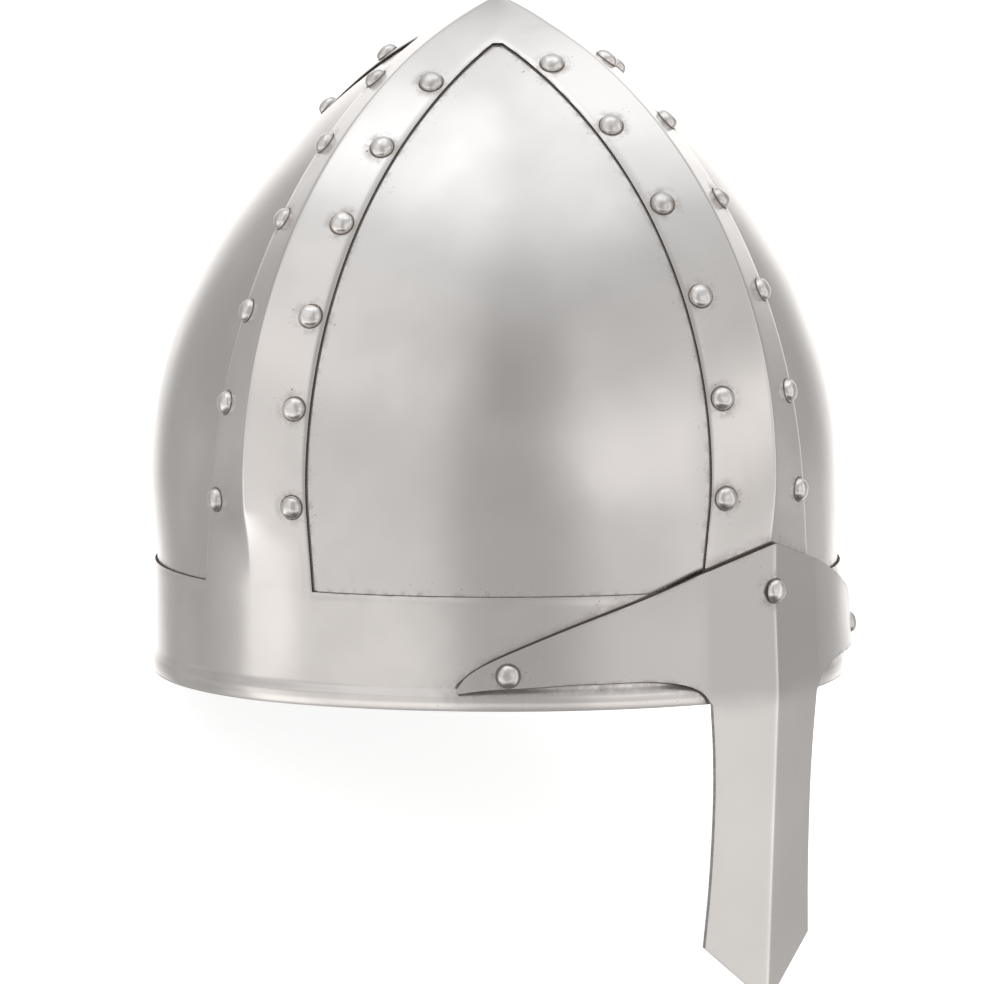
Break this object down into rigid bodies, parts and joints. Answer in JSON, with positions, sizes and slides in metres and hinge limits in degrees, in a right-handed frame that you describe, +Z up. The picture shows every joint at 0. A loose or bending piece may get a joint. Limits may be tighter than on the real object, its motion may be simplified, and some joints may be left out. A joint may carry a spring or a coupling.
{
  "type": "spangenhelm helmet",
  "caption": "Pointed steel spangenhelm: curved plates riveted behind a creased frame with a welded brow band, and a swept nasal guard. It lies tipped back on its nasal's tip and rear rim.",
  "frame": {"origin": "centre of the bounding box in X and Y, on the surface that the helmet lies on", "axes": "the face looks along -Y and a little down, the wearer's left is +X, and +Z is up from the surface; the helmet is tipped back 22 degrees about X, so its apex leans towards +Y"},
  "size_m": [0.2158, 0.285, 0.2384],
  "materials": {
    "frame_steel": "polished mild steel, waxed, darker in its joints",
    "plate_steel": "satin polished mild steel",
    "nasal_steel": "satin polished mild steel",
    "rivet_steel": "polished domed heads, dark around their feet"
  },
  "bodies": {
    "root": {"frame": "frame_steel", "nasal": "nasal_steel", "plate_back_left": "plate_steel", "plate_back_right": "plate_steel", "plate_front_left": "plate_steel", "plate_front_right": "plate_steel", "rivet_back_left_1": "rivet_steel", "rivet_back_left_2": "rivet_steel", "rivet_back_left_3": "rivet_steel", "rivet_back_left_4": "rivet_steel", "rivet_back_left_5": "rivet_steel", "rivet_back_left_6": "rivet_steel", "rivet_back_right_1": "rivet_steel", "rivet_back_right_2": "rivet_steel", "rivet_back_right_3": "rivet_steel", "rivet_back_right_4": "rivet_steel", "rivet_back_right_5": "rivet_steel", "rivet_back_right_6": "rivet_steel", "rivet_front_left_1": "rivet_steel", "rivet_front_left_2": "rivet_steel", "rivet_front_left_3": "rivet_steel", "rivet_front_left_4": "rivet_steel", "rivet_front_left_5": "rivet_steel", "rivet_front_left_6": "rivet_steel", "rivet_front_right_1": "rivet_steel", "rivet_front_right_2": "rivet_steel", "rivet_front_right_3": "rivet_steel", "rivet_front_right_4": "rivet_steel", "rivet_front_right_5": "rivet_steel", "rivet_front_right_6": "rivet_steel", "rivet_left_aft_1": "rivet_steel", "rivet_left_aft_2": "rivet_steel", "rivet_left_aft_3": "rivet_steel", "rivet_left_aft_4": "rivet_steel", "rivet_left_aft_5": "rivet_steel", "rivet_left_aft_6": "rivet_steel", "rivet_left_fore_1": "rivet_steel", "rivet_left_fore_2": "rivet_steel", "rivet_left_fore_3": "rivet_steel", "rivet_left_fore_4": "rivet_steel", "rivet_left_fore_5": "rivet_steel", "rivet_left_fore_6": "rivet_steel", "rivet_nasal_centre": "rivet_steel", "rivet_nasal_left": "rivet_steel", "rivet_nasal_right": "rivet_steel", "rivet_right_aft_1": "rivet_steel", "rivet_right_aft_2": "rivet_steel", "rivet_right_aft_3": "rivet_steel", "rivet_right_aft_4": "rivet_steel", "rivet_right_aft_5": "rivet_steel", "rivet_right_aft_6": "rivet_steel", "rivet_right_fore_1": "rivet_steel", "rivet_right_fore_2": "rivet_steel", "rivet_right_fore_3": "rivet_steel", "rivet_right_fore_4": "rivet_steel", "rivet_right_fore_5": "rivet_steel", "rivet_right_fore_6": "rivet_steel"}
  },
  "joints": []
}
